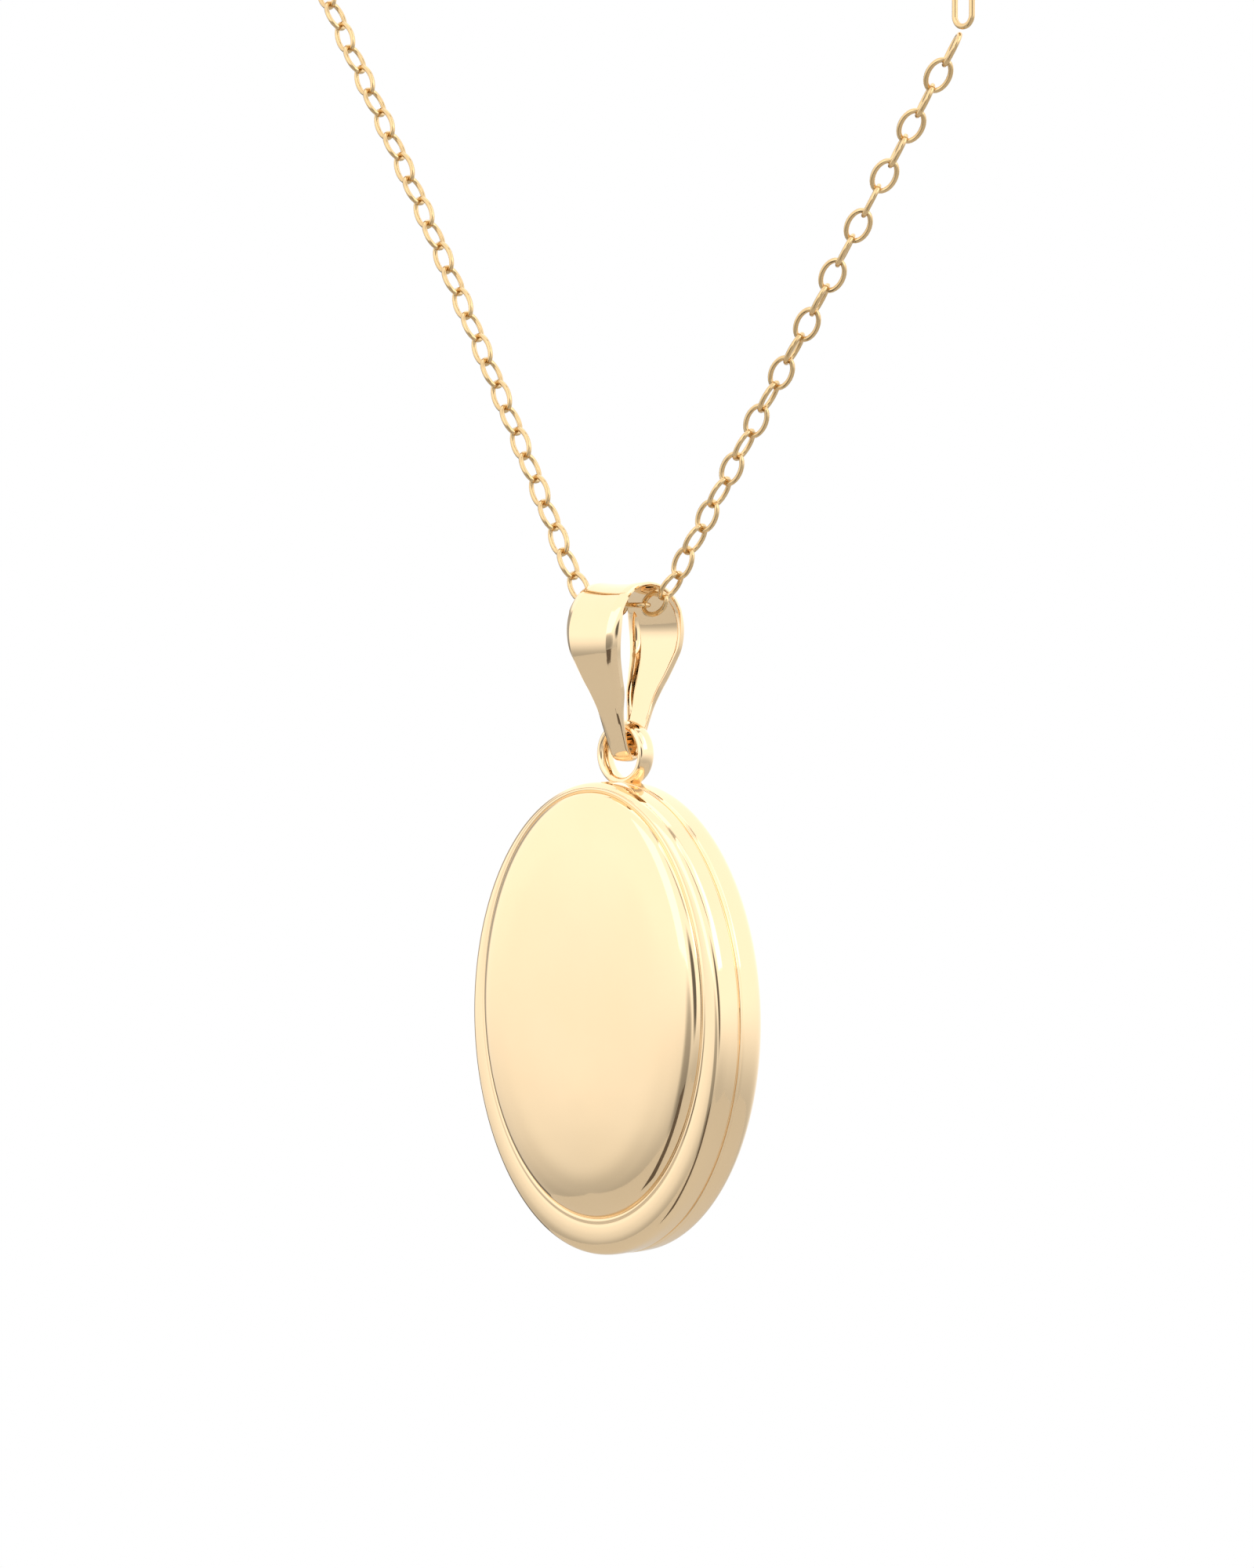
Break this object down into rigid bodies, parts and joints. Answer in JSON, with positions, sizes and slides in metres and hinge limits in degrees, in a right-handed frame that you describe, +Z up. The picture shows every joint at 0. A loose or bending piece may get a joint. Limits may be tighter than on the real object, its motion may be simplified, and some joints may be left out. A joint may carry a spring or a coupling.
{
  "type": "oval locket on chain",
  "caption": "Polished oval locket that opens on a side hinge, hung by an eye ring and a tapered bail on a fine cable chain with a spring ring clasp.",
  "frame": {"origin": "on the chain's centreline at the middle of the bail, where the bail hangs on the chain", "axes": "+Z up along the hanging locket, -Y out of the front cover, +X to the side opposite the hinge"},
  "size_m": [0.0651, 0.0077, 0.0933],
  "materials": {
    "polished_gold": "mirror polished pale gold plate",
    "inner_gold": "bright dipped gold plate, not buffed",
    "spring_steel": "drawn wire",
    "clear_window": "clear cut sheet",
    "photo_paper": "uncoated card"
  },
  "bodies": {
    "chain": {"chain": "polished_gold", "chain_end_link": "polished_gold", "chain_end_ring": "polished_gold", "clasp_link": "polished_gold", "clasp_eye": "polished_gold", "clasp_case": "polished_gold", "clasp_spring": "spring_steel"},
    "clasp_bolt": {"clasp_bolt": "polished_gold"},
    "bail": {"bail": "polished_gold"},
    "locket": {"eye_ring": "polished_gold", "back_case": "polished_gold", "back_inner_rim": "inner_gold", "snap_rim": "inner_gold", "back_photo_frame": "inner_gold", "back_window": "clear_window", "back_photo_blank": "photo_paper", "hinge_knuckle_back_1": "polished_gold", "hinge_knuckle_back_2": "polished_gold", "hinge_knuckle_back_3": "polished_gold", "hinge_pin": "spring_steel"},
    "cover": {"front_cover": "polished_gold", "front_inner_rim": "inner_gold", "front_photo_frame": "inner_gold", "front_window": "clear_window", "front_photo_blank": "photo_paper", "hinge_knuckle_front_1": "polished_gold", "hinge_knuckle_front_2": "polished_gold"}
  },
  "joints": [
    {"name": "bail_swing", "type": "hinge", "parent": "chain", "child": "bail", "pos_m": [0, 0, 0], "axis": [1, 0, 0], "range_deg": [-60, 60]},
    {"name": "locket_swing", "type": "hinge", "parent": "bail", "child": "locket", "pos_m": [0, 0, -0.00765], "axis": [1, 0, 0], "range_deg": [-60, 60]},
    {"name": "cover_hinge", "type": "hinge", "parent": "locket", "child": "cover", "pos_m": [-0.01138, -0.00125, -0.02625], "axis": [0, 0, -1], "range_deg": [0, 165]},
    {"name": "clasp_bolt_slide", "type": "hinge", "parent": "chain", "child": "clasp_bolt", "pos_m": [-0.03255, 0, 0.04893], "axis": [0, -1, 0], "range_deg": [0, 42], "stiffness_Nm_per_rad": 0.002, "springref_deg": -17.19, "deforming": ["clasp_spring"]}
  ]
}
